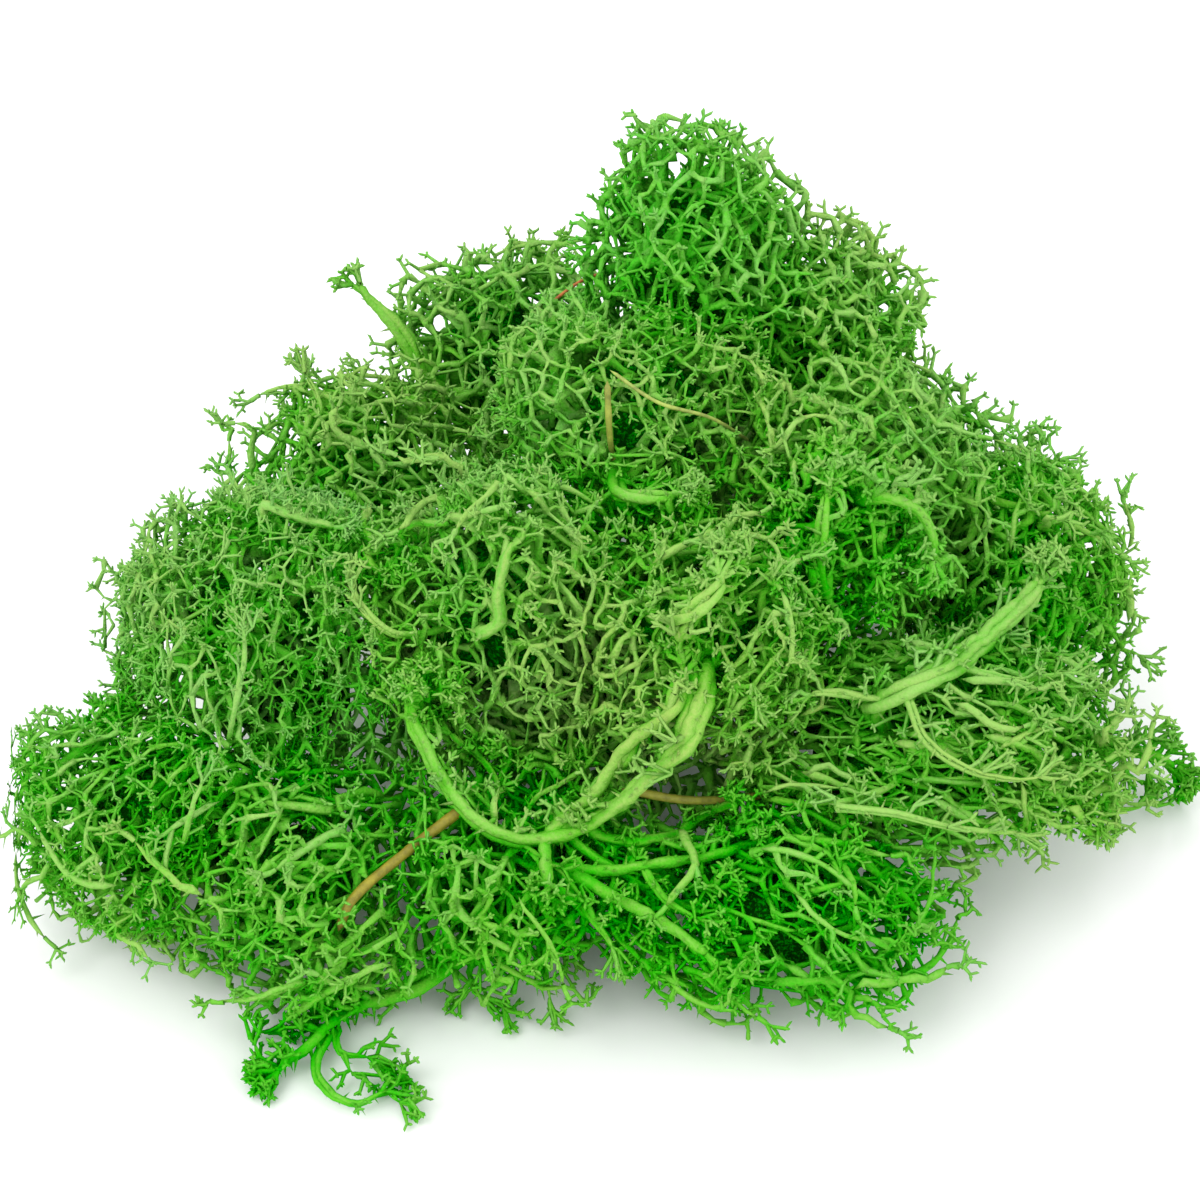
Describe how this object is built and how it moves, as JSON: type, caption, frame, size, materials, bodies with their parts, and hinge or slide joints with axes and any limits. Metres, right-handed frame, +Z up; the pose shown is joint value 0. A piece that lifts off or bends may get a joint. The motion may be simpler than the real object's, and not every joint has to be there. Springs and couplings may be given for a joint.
{
  "type": "reindeer moss clump",
  "caption": "Clump of dyed preserved reindeer moss: forked lichen tufts tangled into a low heap with thick bare stems, stray sprigs and a few dry straws and needles caught in it.",
  "frame": {"origin": "the small flat spot under the heart of the clump, on the surface that it rests on", "axes": "+X along the clump's length to the right as seen from its front, +Y to its back, +Z up"},
  "size_m": [0.1197, 0.1039, 0.0636],
  "materials": {
    "moss_mid": "matt and felty, mid green going to yellow green on the bare stems",
    "moss_deep": "matt and felty, deeper and slightly cooler green",
    "dry_straw": "dry, ochre brown, faintly satin",
    "red_needle": "dry, red brown, faintly satin"
  },
  "bodies": {
    "root": {"heart_tuft": "moss_deep", "crown_tuft": "moss_mid", "right_mid_tuft": "moss_mid", "shoulder_tuft": "moss_mid", "peak_tuft": "moss_deep", "ridge_left_tuft": "moss_mid", "back_left_tuft": "moss_deep", "back_right_tuft": "moss_mid", "back_tuft": "moss_deep", "left_dome_tuft": "moss_deep", "left_front_tuft": "moss_deep", "front_left_tuft": "moss_mid", "centre_tuft": "moss_mid", "mid_tuft": "moss_mid", "right_dome_tuft": "moss_mid", "combed_tuft": "moss_mid", "front_right_tuft": "moss_deep", "front_mid_tuft": "moss_mid", "brown_straw": "dry_straw", "pale_straw": "dry_straw", "upright_needle": "dry_straw", "grass_blade": "dry_straw", "red_needle": "red_needle"}
  },
  "joints": []
}
